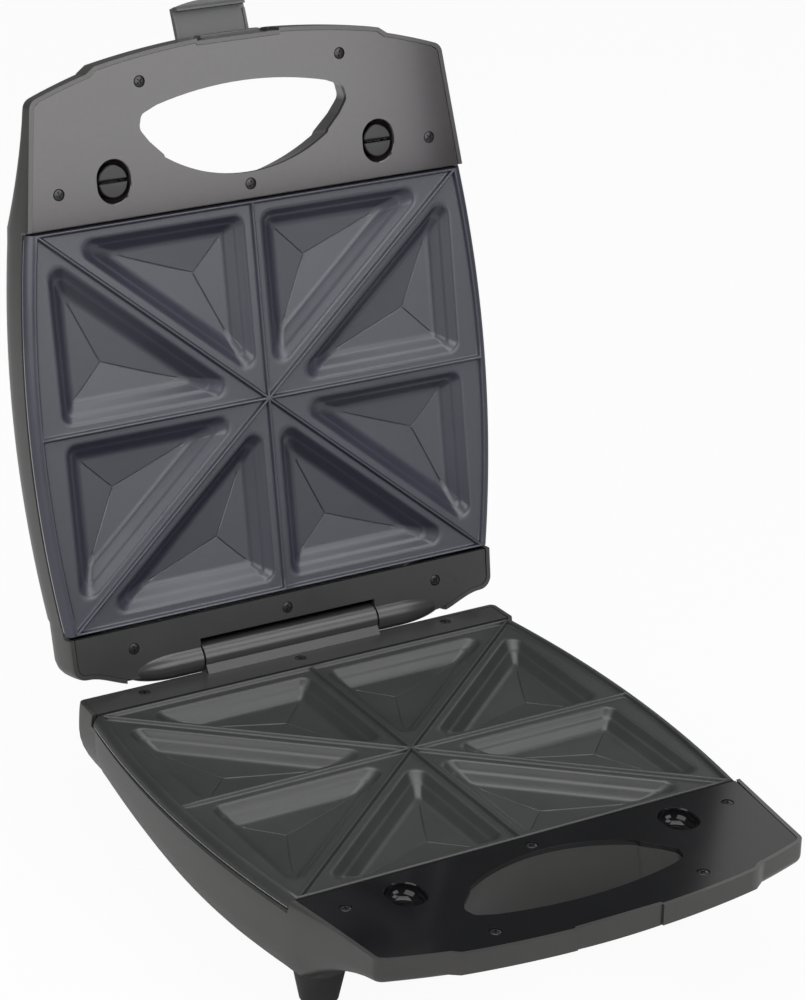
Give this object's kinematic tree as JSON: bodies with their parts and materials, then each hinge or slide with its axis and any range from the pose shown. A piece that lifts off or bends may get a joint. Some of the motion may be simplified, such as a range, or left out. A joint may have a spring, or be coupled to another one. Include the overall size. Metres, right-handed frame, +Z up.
{
  "type": "sandwich toaster",
  "caption": "Countertop sandwich toaster with a hinged lid, two plates of triangular pockets, finger grips and a swinging front latch.",
  "frame": {"origin": "on the ground under the middle of the box round the open toaster", "axes": "+X to the right seen from the front, +Y from the front latch side to the hinge side, +Z up"},
  "size_m": [0.271, 0.41, 0.3898],
  "materials": {
    "casing": "satin moulded thermoset plastic, faint grain",
    "fascia": "high gloss",
    "trim": "satin gloss",
    "plate": "dark non-stick coating, satin, fine speckle",
    "element": "heat-tinted",
    "steel": "plain",
    "shield": "bright sheet",
    "dark_steel": "blackened",
    "phenolic": "matt moulding",
    "sleeve": "woven glass sleeve",
    "ceramic": "ivory moulding",
    "bush": "matt",
    "lead": "silicone sleeve",
    "foot": "satin",
    "red_lens": "clear tinted",
    "green_lens": "clear tinted",
    "latch": "satin moulding"
  },
  "bodies": {
    "base": {"base_casing": "casing", "base_fascia": "fascia", "base_rear_cover": "trim", "base_plate": "plate", "base_element": "element", "base_element_clamps": "steel", "base_heat_shield": "shield", "base_plate_screws": "steel", "base_fascia_screws": "dark_steel", "base_rear_screws": "dark_steel", "thermostat": "phenolic", "thermostat_clip": "steel", "thermal_fuse": "sleeve", "terminal_block": "ceramic", "cord_gland": "bush", "base_leads": "lead", "front_left_foot": "foot", "front_right_foot": "foot", "rear_left_foot": "foot", "rear_right_foot": "foot", "foot_screws": "steel", "hinge_pin_left": "steel", "hinge_pin_right": "steel", "link_sleeve": "lead"},
    "lid": {"lid_casing": "casing", "lid_fascia": "fascia", "lid_rear_cover": "trim", "lid_plate": "plate", "lid_element": "element", "lid_element_clamps": "steel", "lid_heat_shield": "shield", "lid_plate_screws": "steel", "lid_fascia_screws": "dark_steel", "lid_rear_screws": "dark_steel", "lid_leads": "lead", "lamp_holder": "ceramic", "power_lens": "red_lens", "ready_lens": "green_lens", "latch_pin": "steel"},
    "latch": {"latch": "latch"}
  },
  "joints": [
    {"name": "lid_hinge", "type": "hinge", "parent": "base", "child": "lid", "pos_m": [0, 0.11191, 0.069], "axis": [1, 0, 0], "range_deg": [0, 101.1]},
    {"name": "latch_pivot", "type": "hinge", "parent": "lid", "child": "latch", "pos_m": [0, 0.17844, 0.36707], "axis": [1, 0, 0], "range_deg": [0, 103.8]}
  ]
}
